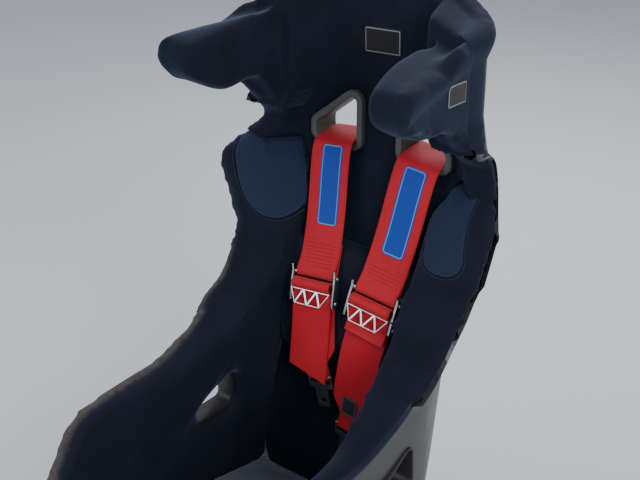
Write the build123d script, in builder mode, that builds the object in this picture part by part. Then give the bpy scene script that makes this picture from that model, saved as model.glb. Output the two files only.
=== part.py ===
from build123d import *
import os
from math import atan, cos, degrees, radians, sin, tan

# Winged racing bucket seat with its shoulder harness, in millimetres.
# X points to the sitter's left, Y to the rear, Z up. The origin is the centre of
# the four floor bolts, on the floor under the two side brackets.

os.makedirs("parts", exist_ok=True)

# Shell wall and the crest of the sides
shell_wall = 5.0
head_top = 990.0
head_corner_half = 218.0
head_corner_height = 884.0
head_flat_half = 55.0

# Back: each row is height, rear face, half width at the rear face, how far the
# sides lean out towards the front in degrees, and the corner radius
back_rows = [
    (20, 111, 165, 20, 60),
    (240, 158, 165, 20, 60),
    (420, 196.5, 162, 18, 60),
    (490, 212, 157, 31, 60),
    (560, 227, 155, 42, 60),
    (630, 242, 158, 41, 60),
    (700, 257, 165, 41, 60),
    (728, 259, 168, 33, 60),
    (756, 261, 172, 17, 60),
    (785, 262, 175, 7, 60),
    (840, 262, 176, 6, 60),
    (1050, 256, 176, 6, 60),
]
# The same rows for the face of the padding
back_pad_rows = [
    (0, 74, 150, 20, 45),
    (240, 123, 150, 20, 45),
    (420, 162, 146, 17, 45),
    (490, 177, 141, 29, 45),
    (560, 192, 140, 41, 45),
    (630, 207, 142, 43, 45),
    (700, 222, 150, 43, 45),
    (728, 223, 141, 33, 45),
    (756, 224, 130, 16, 45),
    (785, 225, 122, 4, 45),
    (840, 224, 120, 2, 45),
    (940, 220, 120, 2, 45),
    (1060, 215, 120, 2, 45),
]
# Heights between which the back is lofted in one go, with how far forwards it runs
back_spans = [(0, 420, -480.0), (420, 700, -60.0), (700, 1060, -130.0)]

# Seat pan: station, underside, half width at the underside, half width at the waist
pan_rows = [
    (-440, 181, 172, 205),
    (-160, 119, 175, 209),
    (300, 19, 172, 207),
]
pan_pad_rows = [
    (-460, 233, 156, 178),
    (-160, 167, 158, 181),
    (320, 63, 156, 178),
]
pan_waist = 420.0
pan_corner = 48.0
pan_pad_corner = 32.0
clear_half = 460.0
clear_top = 1120.0

# Side outline from the head to the front lip: rearward, up, corner radius
side_line = [
    (250, 1100, 0),
    (206, 984, 20),
    (62, 930, 60),
    (-50, 892, 28),
    (-44, 846, 34),
    (36, 797, 40),
    (112, 792, 26),
    (200, 712, 16),
    (126, 652, 30),
    (130, 536, 40),
    (80, 462, 90),
    (-15, 408, 150),
    (-90, 382, 150),
    (-275, 374, 60),
    (-338, 300, 80),
    (-396, 205, 20),
    (-396, 150, 0),
]

# Head wings in front of the head rest, as upright ovals: station, sideways, up,
# half width, half height
wing_ovals = [
    (-75, 160, 868, 20, 14),
    (-52, 161, 867, 38, 38),
    (-20, 163, 865, 48, 56),
    (40, 164, 864, 54, 72),
    (90, 158, 860, 66, 96),
    (150, 150, 850, 92, 150),
]
wing_base = 745.0
wing_inner = 92.0

# Harness slots beside the head rest, as corners: sideways, up
slot_corners = [(43, 690), (43, 778), (123, 713), (123, 690)]
slot_corner_radius = 9.0
rim_wall = 5.0
rim_lip = 6.0
rim_lip_depth = 12.0
rim_front = 214.0
rim_rear = 268.0

# Lap belt openings in the sides: rearward, up
lap_corners = [(35, 324), (40, 250), (-48, 250), (-52, 276)]
lap_corner_radius = 10.0
lap_wall = 4.0
lap_lip = 4.0
lap_lip_depth = 6.0
lap_inside = 166.0
lap_outside = 201.0

# Opening in the seat pan for the crotch strap
crotch_station = -190.0
crotch_width = 112.0
crotch_length = 34.0
crotch_wall = 3.0
crotch_lip = 5.0
crotch_lip_rise = 2.0

# Padding splits
pad_split_head = 683.0
pad_split_shoulder = 520.0
pad_split_thigh = -60.0
head_centre_half = 112.0
centre_half = 148.0
squab_back = 96.0

# Lumbar cushion on the back pad: rearward, up, along its front face
lumbar_half = 122.0
lumbar_front = [(186, 540), (158, 534), (140, 490), (112, 388), (118, 348), (146, 336)]
lumbar_buried = 240.0
lumbar_radius = 12.0

# Side brackets of folded steel
bracket_plate = 4.0
bracket_bend = 6.0
bracket_inside = 210.0
bracket_foot = 46.0
bracket_front = -250.0
bracket_rear = 178.0
bracket_margin = 26.0
bracket_windows = [(-112, 84, 108, 40), (12, 70, 78, 34)]
foot_length = 64.0
foot_bolt_in = 28.0
floor_bolt_pitch = 300.0
floor_bolt_hole = 9.0
shell_bolt_pitch = 290.0
shell_bolt_front = -215.0
shell_bolt_rise = 48.0
boss_radius = 17.0
boss_hole_depth = 18.0
bolt_shank = 8.0
bolt_head = 13.0
bolt_head_height = 5.0

# Harness: webbing and where each shoulder strap lies, by side
strap_width = 76.0
strap_thick = 2.0
strap_slot_height = 708.0
strap_lift = 6.0
strap_slot_at = {-1: -83.0, 1: 83.0}
strap_low_height = 468.0
strap_low_at = {-1: -54.0, 1: 60.0}
strap_tail = 345.0
anchor_hole = 11.0
anchor_blade = 49.0
anchor_length = 40.0
anchor_plate = 3.0
adjuster_width = 89.0
adjuster_length = 57.0
adjuster_plate = 3.0
adjuster_rise = 4.0
adjuster_cheek = 3.5
adjuster_cheek_height = 14.0
adjuster_bar = 8.0
adjuster_bar_from_end = 8.0
adjuster_at = (124.5, 470.0)
adjuster_tilt = 17.0

# Lower webbing: where its end hangs sideways, then rearward and up along its run
lower_across = {-1: -27.0, 1: 34.0}
lower_line = {
    -1: [(107, 392), (101, 362), (98, 334)],
    1: [(107, 392), (102, 350), (100, 254)],
}
lower_radius = {-1: [60, 60], 1: [60, 90]}

# Tongue: a steel plate on a round bar in the webbing's end loop
loop_width = 40.0
loop_play = 0.4
strap_end_rise = 8.5
tongue_bar = 6.0
tongue_arm = 4.0
tongue_gap = 0.6
tongue_plate = 3.0
tongue_drop = 13.0
tongue_blade = 26.0
tongue_length = 44.0
tongue_slot = (12.0, 7.0)
tongue_shoulder = 9.0

both = (-1, 1)
side_name = {-1: "right", 1: "left"}


def back_plug(rows, front, inset, reach):
    """Room in front of the back, as a loft through level sections."""
    with BuildPart() as plug:
        for height, rear, half, lean_out, radius in rows:
            lean = radians(lean_out)
            rear_half = half - inset / cos(lean) + inset * tan(lean)
            out = front - reach
            out_half = rear_half + (rear - inset - out) * tan(lean)
            with BuildSketch(Plane.XY.offset(height)):
                with BuildLine():
                    FilletPolyline(
                        (-out_half, out),
                        (-rear_half, rear - inset),
                        (rear_half, rear - inset),
                        (out_half, out),
                        radius=radius - inset,
                    )
                    Line((out_half, out), (-out_half, out))
                make_face()
        loft(ruled=True)
    return plug.part


def back_plugs(rows, inset, reach):
    """The whole height of the back, span by span."""
    return [
        back_plug([row for row in rows if low <= row[0] <= high], front, inset, reach)
        for low, high, front in back_spans
    ]


def pan_plug(rows, inset, corner):
    """Room above the seat pan, as a loft through upright sections."""
    with BuildPart() as plug:
        for station, under, half, waist_half in rows:
            with BuildSketch(Plane.XZ.offset(-station)):
                foot, waist = half - inset, waist_half - inset
                with BuildLine():
                    FilletPolyline(
                        (-waist, pan_waist),
                        (-foot, under + inset),
                        (foot, under + inset),
                        (waist, pan_waist),
                        radius=corner - inset,
                    )
                    Polyline(
                        (waist, pan_waist),
                        (clear_half, pan_waist + 60),
                        (clear_half, clear_top),
                        (-clear_half, clear_top),
                        (-clear_half, pan_waist + 60),
                        (-waist, pan_waist),
                    )
                make_face()
        loft(ruled=True)
    return plug.part


# Solid outlines that cut every layer alike
with BuildPart() as side_prism:
    with BuildSketch(Plane.YZ.offset(-300)):
        with BuildLine():
            FilletPolyline(
                *[(y, z) for y, z, r in side_line],
                radius=[r if r else 1 for y, z, r in side_line[1:-1]],
            )
            Polyline((-396, 150), (-396, -60), (340, -60), (340, 1100), (250, 1100))
        make_face()
    extrude(amount=600)

with BuildPart() as head_arch:
    with BuildSketch(Plane.XZ.offset(-340)):
        with BuildLine():
            FilletPolyline(
                (-300, 700),
                (-head_corner_half, 712),
                (-head_corner_half, head_corner_height),
                (-head_flat_half, head_top),
                (head_flat_half, head_top),
                (head_corner_half, head_corner_height),
                (head_corner_half, 712),
                (300, 700),
                radius=[6, 62, 150, 150, 62, 6],
            )
            Polyline((300, 700), (300, -60), (-300, -60), (-300, 700))
        make_face()
    extrude(amount=760)

with BuildPart() as wing_trim:
    for side in both:
        ends = sorted((side * wing_inner, side * 300))
        with Locations(((ends[0] + ends[1]) / 2, 0, (wing_base + clear_top) / 2)):
            Box(ends[1] - ends[0], 2 * wing_ovals[-1][0] - 10, clear_top - wing_base)
    for side in both:
        with BuildPart(mode=Mode.PRIVATE) as oval:
            for station, across, height, half, half_height in wing_ovals:
                with BuildSketch(Plane.XZ.offset(-station)):
                    with Locations((side * across, height)):
                        Ellipse(half, half_height)
            loft(ruled=True)
        add(oval.part, mode=Mode.SUBTRACT)

with BuildPart() as outside:
    for plug in back_plugs(back_rows, 0, 0):
        add(plug)
    add(pan_plug(pan_rows, 0, pan_corner), mode=Mode.INTERSECT)
    add(side_prism.part, mode=Mode.INTERSECT)
    add(head_arch.part, mode=Mode.INTERSECT)
    add(wing_trim.part, mode=Mode.SUBTRACT)
print("outside", outside.part.volume, outside.part.is_valid, len(outside.part.solids()))

with BuildPart() as inside:
    for plug in back_plugs(back_rows, shell_wall, 30):
        add(plug)
    add(pan_plug(pan_rows, shell_wall, pan_corner), mode=Mode.INTERSECT)

with BuildPart() as pad_room:
    for plug in back_plugs(back_pad_rows, 0, 40):
        add(plug)
    add(pan_plug(pan_pad_rows, 0, pan_pad_corner), mode=Mode.INTERSECT)


def pan_under(station):
    """Height of the shell's underside at a station."""
    (y0, z0, *_), (y1, z1, *_) = pan_rows[0], pan_rows[-1]
    return z0 + (station - y0) * (z1 - z0) / (y1 - y0)


pan_tilt = degrees(atan((pan_rows[0][1] - pan_rows[-1][1]) / (pan_rows[-1][0] - pan_rows[0][0])))


def slot_prism(side, grow, front, rear):
    """A harness slot's outline, grown, from a front to a rear station."""
    with BuildPart() as prism:
        with BuildSketch(Plane.XZ.offset(-rear)):
            Polygon(*[(side * x, z) for x, z in slot_corners], align=None)
            fillet(vertices(), slot_corner_radius)
            if grow:
                offset(amount=grow)
        extrude(amount=rear - front)
    return prism.part


def lap_prism(side, grow, near, far):
    """A lap belt opening's outline, grown, between two distances from the middle."""
    with BuildPart() as prism:
        with BuildSketch(Plane.YZ.offset(near if side > 0 else -far)):
            Polygon(*lap_corners, align=None)
            fillet(vertices(), lap_corner_radius)
            if grow:
                offset(amount=grow)
        extrude(amount=far - near)
    return prism.part


crotch_plane = Plane(
    origin=(0, crotch_station, pan_under(crotch_station)),
    x_dir=(1, 0, 0),
    z_dir=(0, sin(radians(pan_tilt)), cos(radians(pan_tilt))),
)
crotch_top = (pan_pad_rows[1][1] - pan_rows[1][1]) * cos(radians(pan_tilt))


def crotch_prism(grow, low, high):
    """The crotch strap opening's outline, grown, square to the seat pan."""
    with BuildPart() as prism:
        with BuildSketch(crotch_plane.offset(low)):
            SlotOverall(crotch_width + 2 * grow, crotch_length + 2 * grow)
        extrude(amount=high - low)
    return prism.part


# Rims that line the openings; each is also the room cut for it in shell and pads
rims = {}
rim_rooms = []
for side in both:
    with BuildPart() as rim:
        add(slot_prism(side, rim_wall, rim_front, rim_rear))
        add(slot_prism(side, rim_wall + rim_lip, rim_front, rim_front + rim_lip_depth))
        rim_rooms.append(rim.part)
        add(slot_prism(side, 0, rim_front - 10, rim_rear + 10), mode=Mode.SUBTRACT)
    rims[f"harness_slot_rim_{side_name[side]}"] = rim.part
    with BuildPart() as lap_rim:
        add(lap_prism(side, lap_wall, lap_inside, lap_outside))
        add(lap_prism(side, lap_wall + lap_lip, lap_inside, lap_inside + lap_lip_depth))
        rim_rooms.append(lap_rim.part)
        add(lap_prism(side, 0, lap_inside - 20, lap_outside + 20), mode=Mode.SUBTRACT)
    rims[f"lap_opening_rim_{side_name[side]}"] = lap_rim.part

with BuildPart() as crotch_rim:
    add(crotch_prism(crotch_wall, -2, crotch_top + crotch_lip_rise))
    add(crotch_prism(crotch_wall + crotch_lip, crotch_top - 4, crotch_top + crotch_lip_rise))
    rim_rooms.append(crotch_rim.part)
    add(crotch_prism(0, -20, crotch_top + 20), mode=Mode.SUBTRACT)
rims["crotch_opening_rim"] = crotch_rim.part

for name, part in rims.items():
    part.label = name
    export_step(part, f"parts/{name}.step")

# Mounting bolts run through the bracket into bosses moulded on the shell's sides
shell_bolts = [
    (y, pan_under(y) + shell_bolt_rise)
    for y in (shell_bolt_front, shell_bolt_front + shell_bolt_pitch)
]

with BuildPart() as shell:
    add(outside.part)
    for side in both:
        with BuildSketch(Plane.YZ.offset(side * bracket_inside)):
            with Locations(*shell_bolts):
                Circle(boss_radius)
        extrude(amount=-side * (bracket_inside - centre_half))
    add(inside.part, mode=Mode.SUBTRACT)
    for side in both:
        with BuildSketch(Plane.YZ.offset(side * bracket_inside)):
            with Locations(*shell_bolts):
                Circle(bolt_shank / 2)
        extrude(amount=-side * boss_hole_depth, mode=Mode.SUBTRACT)
    for room in rim_rooms:
        add(room, mode=Mode.SUBTRACT)
shell.part.label = "shell"
export_step(shell.part, "parts/shell.step")
print("shell", shell.part.volume, shell.part.is_valid, len(shell.part.solids()))

with BuildPart() as padding:
    add(outside.part)
    add(inside.part, mode=Mode.INTERSECT)
    add(pad_room.part, mode=Mode.SUBTRACT)
    for room in rim_rooms:
        add(room, mode=Mode.SUBTRACT)
print("padding", padding.part.volume, padding.part.is_valid, len(padding.part.solids()))

# The padding is upholstered in separate pieces, each cut out of the one layer
far = 600.0
pad_pieces = {
    "head_pad": ((-head_centre_half, -far, pad_split_head), (head_centre_half, far, 1200)),
    "squab_cushion": ((-centre_half, -far, -100), (centre_half, squab_back, 330)),
    "back_pad": ((-centre_half, squab_back, -100), (centre_half, far, pad_split_head)),
}
for side in both:
    name = side_name[side]
    near_x, far_x = sorted((side * centre_half, side * far))
    head_x, head_far = sorted((side * head_centre_half, side * far))
    pad_pieces[f"head_wing_pad_{name}"] = (
        (head_x, -far, pad_split_head),
        (head_far, far, 1200),
    )
    pad_pieces[f"shoulder_pad_{name}"] = (
        (near_x, -far, pad_split_shoulder),
        (far_x, far, pad_split_head),
    )
    pad_pieces[f"side_bolster_{name}"] = (
        (near_x, pad_split_thigh, -100),
        (far_x, far, pad_split_shoulder),
    )
    pad_pieces[f"thigh_bolster_{name}"] = (
        (near_x, -far, -100),
        (far_x, pad_split_thigh, pad_split_shoulder),
    )
for name, (low, high) in pad_pieces.items():
    with BuildPart() as pad:
        add(padding.part)
        with Locations(tuple((l + h) / 2 for l, h in zip(low, high))):
            Box(*[h - l for l, h in zip(low, high)], mode=Mode.INTERSECT)
    pad.part.label = name
    export_step(pad.part, f"parts/{name}.step")
    print(name, pad.part.volume, pad.part.is_valid, len(pad.part.solids()))

with BuildPart() as lumbar_cushion:
    with BuildSketch(Plane.YZ.offset(-lumbar_half)):
        with BuildLine():
            FilletPolyline(*lumbar_front, radius=[8, 14, 40, 14])
            Polyline(
                lumbar_front[-1],
                (lumbar_buried, lumbar_front[-1][1]),
                (lumbar_buried, lumbar_front[0][1]),
                lumbar_front[0],
            )
        make_face()
    extrude(amount=2 * lumbar_half)
    add(pad_room.part, mode=Mode.INTERSECT)
lumbar_cushion.part.label = "lumbar_cushion"
export_step(lumbar_cushion.part, "parts/lumbar_cushion.step")

# Side brackets: a folded L with a foot at each end and windows in the web
bracket_length = bracket_rear - bracket_front
for side in both:
    name = side_name[side]
    near, out = bracket_inside, bracket_inside + bracket_foot
    with BuildPart() as bracket:
        with BuildSketch(Plane.XZ.offset(-bracket_rear)):
            with BuildLine():
                FilletPolyline(
                    (side * near, 400), (side * near, 0), (side * out, 0), radius=bracket_bend
                )
                Line((side * out, 0), (side * out, bracket_plate))
                FilletPolyline(
                    (side * out, bracket_plate),
                    (side * (near + bracket_plate), bracket_plate),
                    (side * (near + bracket_plate), 400),
                    radius=bracket_bend - bracket_plate,
                )
                Line((side * (near + bracket_plate), 400), (side * near, 400))
            make_face()
        extrude(amount=bracket_length)
        with BuildSketch(Plane.YZ.offset(side * (near - 10))):
            (y0, z0), (y1, z1) = shell_bolts
            tops = [
                (y, z + bracket_margin + (z1 - z0) / (y1 - y0) * (y - by))
                for y, (by, z) in zip((bracket_front, bracket_rear), shell_bolts)
            ]
            Polygon(
                (bracket_front - 20, tops[0][1] + 4),
                tops[0],
                tops[1],
                (bracket_rear + 20, tops[1][1] - 4),
                (bracket_rear + 20, 460),
                (bracket_front - 20, 460),
                align=None,
            )
            for y, z, length, height in bracket_windows:
                with Locations((y, z)):
                    SlotOverall(length, height, rotation=-pan_tilt)
        extrude(amount=side * (bracket_foot + 30), mode=Mode.SUBTRACT)
        with BuildSketch(Plane.XY.offset(-1)):
            foot_cut = 2 * (bracket_foot - bracket_bend + 8)
            with Locations((side * (out + 10), 0)):
                Rectangle(foot_cut, floor_bolt_pitch - foot_length)
            foot_end = -(floor_bolt_pitch + foot_length) / 2
            with Locations((side * (out + 10), (foot_end + bracket_front - 20) / 2)):
                Rectangle(foot_cut, foot_end - bracket_front + 20)
            with Locations(
                *[(side * (near + foot_bolt_in), y * floor_bolt_pitch / 2) for y in both]
            ):
                Circle(floor_bolt_hole / 2)
        extrude(amount=bracket_plate + 2, mode=Mode.SUBTRACT)
        with BuildSketch(Plane.YZ.offset(side * (near - 10))):
            with Locations(*shell_bolts):
                Circle(bolt_shank / 2)
        extrude(amount=side * 30, mode=Mode.SUBTRACT)
    bracket.part.label = f"bracket_{name}"
    export_step(bracket.part, f"parts/bracket_{name}.step")
    print("bracket", bracket.part.volume, bracket.part.is_valid, len(bracket.part.solids()))

    with BuildPart() as bolts:
        with BuildSketch(Plane.YZ.offset(side * (near + bracket_plate))):
            with Locations(*shell_bolts):
                RegularPolygon(bolt_head / 2, 6, major_radius=False)
        extrude(amount=side * bolt_head_height)
        with BuildSketch(Plane.YZ.offset(side * (near + bracket_plate))):
            with Locations(*shell_bolts):
                Circle(bolt_shank / 2)
        extrude(amount=-side * (bracket_plate + boss_hole_depth - 2))
    bolts.part.label = f"shell_bolts_{name}"
    export_step(bolts.part, f"parts/shell_bolts_{name}.step")
    print("bolts", bolts.part.volume, bolts.part.is_valid, len(bolts.part.solids()))

# Shoulder straps: down behind the shell, over the slot's lower lip, down the front
# to the adjuster's upper bar
def leaning(top_across, top_height, low_across, low_height):
    """Upright plane along the middle of webbing that leans sideways."""
    return Plane(
        origin=(top_across, 0, top_height),
        x_dir=(0, 1, 0),
        z_dir=(top_height - low_height, 0, low_across - top_across),
    )


def webbing(flat, line, radii, top_height):
    """Webbing along a line of rearward and upward points on a leaning plane."""
    run = flat.z_dir.X
    with BuildPart() as strip:
        with BuildSketch(flat):
            with BuildLine() as middle:
                FilletPolyline(*[(y, (z - top_height) / run) for y, z in line], radius=radii)
            trace(middle.line, line_width=strap_thick)
        extrude(amount=strap_width / 2, both=True)
    return strip.part


def bar_place(flat, top_height, y, z):
    """Plane across a bar that lies along the webbing's width."""
    run = flat.z_dir.X
    return Plane(
        origin=flat.from_local_coords((y, (z - top_height) / run, 0)),
        x_dir=flat.x_dir,
        z_dir=flat.z_dir,
    )


def round_bar(place, diameter, length):
    with BuildPart() as bar:
        with BuildSketch(place):
            Circle(diameter / 2)
        extrude(amount=length / 2, both=True)
    return bar.part


ring_outer = tongue_bar / 2 + loop_play + strap_thick
arm_out = loop_width / 2 + tongue_gap + tongue_arm


def loop_ring(place):
    """Webbing sewn round a bar: the ring and the throat that joins it."""
    with BuildPart() as ring:
        with BuildSketch(place):
            Circle(ring_outer)
            with Locations((0, ring_outer)):
                Rectangle(strap_thick, 2 * ring_outer)
            Circle(tongue_bar / 2 + loop_play, mode=Mode.SUBTRACT)
        extrude(amount=loop_width / 2, both=True)
    return ring.part


def end_fitting(place, blade, length, thick, hole):
    """Steel end fitting: a round bar, two arms, a shoulder and a blade with a hole."""
    with BuildPart() as fitting:
        add(round_bar(place, tongue_bar, 2 * arm_out))
        with BuildSketch(
            Plane(
                origin=place.origin - place.x_dir * (thick / 2),
                x_dir=-place.z_dir,
                z_dir=place.x_dir,
            )
        ):
            for way in both:
                with Locations((way * (arm_out - tongue_arm / 2), -tongue_drop / 2)):
                    Rectangle(tongue_arm, tongue_drop + 2)
            with Locations((0, -tongue_drop - tongue_shoulder / 2)):
                RectangleRounded(2 * arm_out, tongue_shoulder, 2)
            with Locations((0, -tongue_drop - length / 2)):
                RectangleRounded(blade, length, 6)
            with Locations((0, -tongue_drop - length + 6 + hole[1])):
                if hole[0] > hole[1]:
                    SlotOverall(*hole, mode=Mode.SUBTRACT)
                else:
                    Circle(hole[1] / 2, mode=Mode.SUBTRACT)
        extrude(amount=thick)
    return fitting.part


def save(part, name):
    part.label = name
    export_step(part, f"parts/{name}.step")
    print(name, part.volume, part.is_valid, len(part.solids()))


anchor_drop = tongue_drop + anchor_length - 6 - anchor_hole
strap_rear = rim_rear + 14.0
strap_low = slot_corners[0][1] + strap_lift
tail_end = strap_slot_height - strap_tail
tilt = radians(adjuster_tilt)
bar_out = adjuster_length / 2 - adjuster_bar_from_end
upper_bar = (
    adjuster_at[0] + bar_out * sin(tilt),
    adjuster_at[1] + bar_out * cos(tilt),
)
lower_bar = (
    adjuster_at[0] - bar_out * sin(tilt),
    adjuster_at[1] - bar_out * cos(tilt),
)
strap_over = [
    (strap_rear, tail_end),
    (strap_rear, strap_low - 3),
    (rim_rear - 4, strap_low + 4),
    (rim_front - 3, strap_low + 1),
    (rim_front - 18, strap_low - 18),
    (168, 570),
    (144, 513),
    upper_bar,
]

for side in both:
    name = side_name[side]
    flat = leaning(
        strap_slot_at[side], strap_slot_height, strap_low_at[side], strap_low_height
    )
    tail_bar = bar_place(flat, strap_slot_height, strap_rear, tail_end - ring_outer)
    bar_length = adjuster_width - 2 * adjuster_cheek
    top_bar = round_bar(
        bar_place(flat, strap_slot_height, *upper_bar), adjuster_bar, bar_length
    )
    low_place = bar_place(flat, strap_slot_height, *lower_bar)
    low_bar = round_bar(low_place, adjuster_bar, bar_length)

    with BuildPart() as shoulder_strap:
        add(webbing(flat, strap_over, [10, 7, 9, 14, 60, 40], strap_slot_height))
        add(loop_ring(tail_bar))
        add(top_bar, mode=Mode.SUBTRACT)
    save(shoulder_strap.part, f"shoulder_strap_{name}")

    # The end plate bolts to a harness bar behind the seat
    save(
        end_fitting(
            tail_bar, anchor_blade, anchor_length, anchor_plate, (anchor_hole, anchor_hole)
        ),
        f"anchor_plate_{name}",
    )

    # Adjuster: two cheeks, two bars and a skeleton plate over the webbing
    up = flat.y_dir * cos(tilt) + Vector(0, 1, 0) * sin(tilt)
    out = flat.z_dir.cross(up)
    middle = bar_place(flat, strap_slot_height, *adjuster_at)
    board = Plane(origin=middle.origin, x_dir=flat.z_dir, z_dir=out)
    with BuildPart() as adjuster:
        add(top_bar)
        add(low_bar)
        for way in both:
            cheek = Plane(
                origin=board.origin + board.x_dir * way * (adjuster_width / 2),
                x_dir=board.y_dir,
                z_dir=board.x_dir,
            )
            with BuildSketch(cheek):
                with Locations((0, adjuster_cheek_height / 2 - 5)):
                    RectangleRounded(adjuster_length, adjuster_cheek_height, 4.5)
            extrude(amount=-way * adjuster_cheek)
        with BuildSketch(board.offset(adjuster_rise)):
            Rectangle(bar_length + 2, adjuster_length - 6)
            Polygon((-33, -22), (-33, 14), (-10, -22), align=None, mode=Mode.SUBTRACT)
            Polygon((33, -22), (33, 14), (10, -22), align=None, mode=Mode.SUBTRACT)
            Polygon(
                (-24, 18), (24, 18), (8, -10), (-8, -10), align=None, mode=Mode.SUBTRACT
            )
        extrude(amount=adjuster_plate)
    save(adjuster.part, f"adjuster_{name}")

    # Lower webbing hangs from the adjuster's lower bar to the tongue
    end_y, end_z = lower_line[side][-1]
    hang = leaning(low_place.origin.X, lower_bar[1], lower_across[side], end_z)
    tongue_place = bar_place(hang, lower_bar[1], end_y, end_z - strap_end_rise)
    above_bar = (lower_bar[0] + 30 * sin(tilt), lower_bar[1] + 30 * cos(tilt))
    with BuildPart() as lower_strap:
        add(webbing(hang, [above_bar] + lower_line[side], lower_radius[side], lower_bar[1]))
        with BuildSketch(
            Plane(origin=low_place.origin, x_dir=board.x_dir, z_dir=board.y_dir)
        ):
            Rectangle(2 * adjuster_width, 80)
        extrude(amount=80, mode=Mode.SUBTRACT)
        add(loop_ring(tongue_place))
        add(low_bar, mode=Mode.SUBTRACT)
    save(lower_strap.part, f"lower_strap_{name}")
    save(
        end_fitting(tongue_place, tongue_blade, tongue_length, tongue_plate, tongue_slot),
        f"tongue_{name}",
    )
    print("tongue bar", name, tongue_place.origin, tongue_place.z_dir)
    print("anchor hole", name, tail_bar.origin - tail_bar.y_dir * anchor_drop)
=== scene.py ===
# %% [markdown]
# # A winged racing bucket seat with its shoulder harness
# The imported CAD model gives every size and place. This lesson dresses it: padded velour covers
# are grown from the CAD pads, the harness is laid as woven strips, and the hard parts get bevelled
# edges and painted, moulded or satin finishes. X points to the sitter's left, Y to the rear, Z up.

import math

import bmesh
import bpy
import numpy as np
from mathutils import Matrix, Vector
from mathutils.bvhtree import BVHTree
from mathutils.kdtree import KDTree


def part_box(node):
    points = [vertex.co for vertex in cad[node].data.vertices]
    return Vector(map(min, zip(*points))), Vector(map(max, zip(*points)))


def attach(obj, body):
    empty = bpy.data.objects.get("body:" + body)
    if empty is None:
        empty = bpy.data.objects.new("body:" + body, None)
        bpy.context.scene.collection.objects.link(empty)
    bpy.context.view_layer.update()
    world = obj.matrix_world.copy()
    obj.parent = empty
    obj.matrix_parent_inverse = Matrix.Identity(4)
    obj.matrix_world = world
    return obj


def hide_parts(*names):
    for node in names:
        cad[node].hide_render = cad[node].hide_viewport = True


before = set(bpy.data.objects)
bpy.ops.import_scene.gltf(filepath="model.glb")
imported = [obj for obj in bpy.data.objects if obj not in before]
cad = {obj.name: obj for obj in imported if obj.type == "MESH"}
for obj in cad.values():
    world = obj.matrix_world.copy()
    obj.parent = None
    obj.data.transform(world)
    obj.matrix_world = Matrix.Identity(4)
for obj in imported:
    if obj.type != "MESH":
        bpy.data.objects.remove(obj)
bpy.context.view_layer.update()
mm = 0.001
sides = {"right": -1, "left": 1}

# %% [markdown]
# ## Camera, floor and light
# The photograph looks down into the seat from the front and the sitter's left. A plain pale floor
# and three soft lamps stand in for a studio: a large key from the window side, a weak fill from
# the other side and a rim light from behind, so that dark cloth still shows its nap and its folds.

# %% Camera at the photograph's angle
photo_width = 640
focal_pixels = 1150


def linked(name, data):
    """A new object put into the scene."""
    piece = bpy.data.objects.new(name, data)
    bpy.context.scene.collection.objects.link(piece)
    return piece


view = linked("view", bpy.data.cameras.new("view"))
view.data.sensor_width = 36.0
view.data.lens = focal_pixels / photo_width * view.data.sensor_width
view.location = (0.961344, -1.163352, 1.354367)
view.rotation_euler = (math.radians(64), 0, math.radians(38))
bpy.context.scene.camera = view
print("lens", round(view.data.lens, 2), "mm")

# %% Floor and lamps
world = bpy.data.worlds.new("studio")
bpy.context.scene.world = world
world.use_nodes = True
sky = world.node_tree.nodes["Background"].inputs
sky["Color"].default_value = (0.86, 0.9, 1.0, 1)
sky["Strength"].default_value = 0.55

bpy.ops.mesh.primitive_plane_add(size=12)
floor = bpy.context.object
floor.name = "floor"
floor_paint = bpy.data.materials.new("pale_floor")
floor_paint.use_nodes = True
floor_shader = floor_paint.node_tree.nodes["Principled BSDF"].inputs
floor_shader["Base Color"].default_value = (0.66, 0.67, 0.69, 1)
floor_shader["Roughness"].default_value = 0.8
floor.data.materials.append(floor_paint)


def lamp(name, place, target, size, power, colour):
    """A soft square lamp at a place, turned towards a target."""
    light = bpy.data.lights.new(name, "AREA")
    light.shape = "SQUARE"
    light.size = size
    light.energy = power
    light.color = colour
    holder = linked(name, light)
    holder.location = place
    holder.rotation_euler = (Vector(target) - Vector(place)).to_track_quat("-Z", "Y").to_euler()


seat_middle = (0, 0, 0.5)
lamp("key", (2.2, -1.1, 1.9), seat_middle, 1.4, 58, (1.0, 0.97, 0.93))
lamp("fill", (-1.6, -1.7, 1.7), seat_middle, 1.6, 22, (0.88, 0.93, 1.0))
lamp("rim", (-0.6, 2.0, 2.3), seat_middle, 1.4, 46, (0.95, 0.97, 1.0))

# %% [markdown]
# ## Shader sheets
# Writing node trees by hand hides the idea behind rows of links. A small class wraps one socket,
# so that shader values add and multiply like numbers, and a sheet makes every other node.

# %% A socket that can be added and multiplied
def math_node(kind, swapped=False):
    """A method that puts a Math node after its values, the last one first where swapped."""

    def method(self, *others):
        values = (self, *others)[::-1] if swapped else (self, *others)
        return self.sheet.node("Math", {"operation": kind}, dict(enumerate(values)))

    return method


class Wire:
    """One output socket of a node, usable in Python sums and products."""

    def __init__(self, sheet, socket):
        self.sheet = sheet
        self.socket = socket

    __add__ = __radd__ = math_node("ADD")
    __mul__ = __rmul__ = math_node("MULTIPLY")
    __sub__, __rsub__ = math_node("SUBTRACT"), math_node("SUBTRACT", swapped=True)
    __truediv__, __pow__ = math_node("DIVIDE"), math_node("POWER")
    __lt__, __gt__ = math_node("LESS_THAN"), math_node("GREATER_THAN")
    size, fraction = math_node("ABSOLUTE"), math_node("FRACT")
    least, most = math_node("MINIMUM"), math_node("MAXIMUM")


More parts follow.
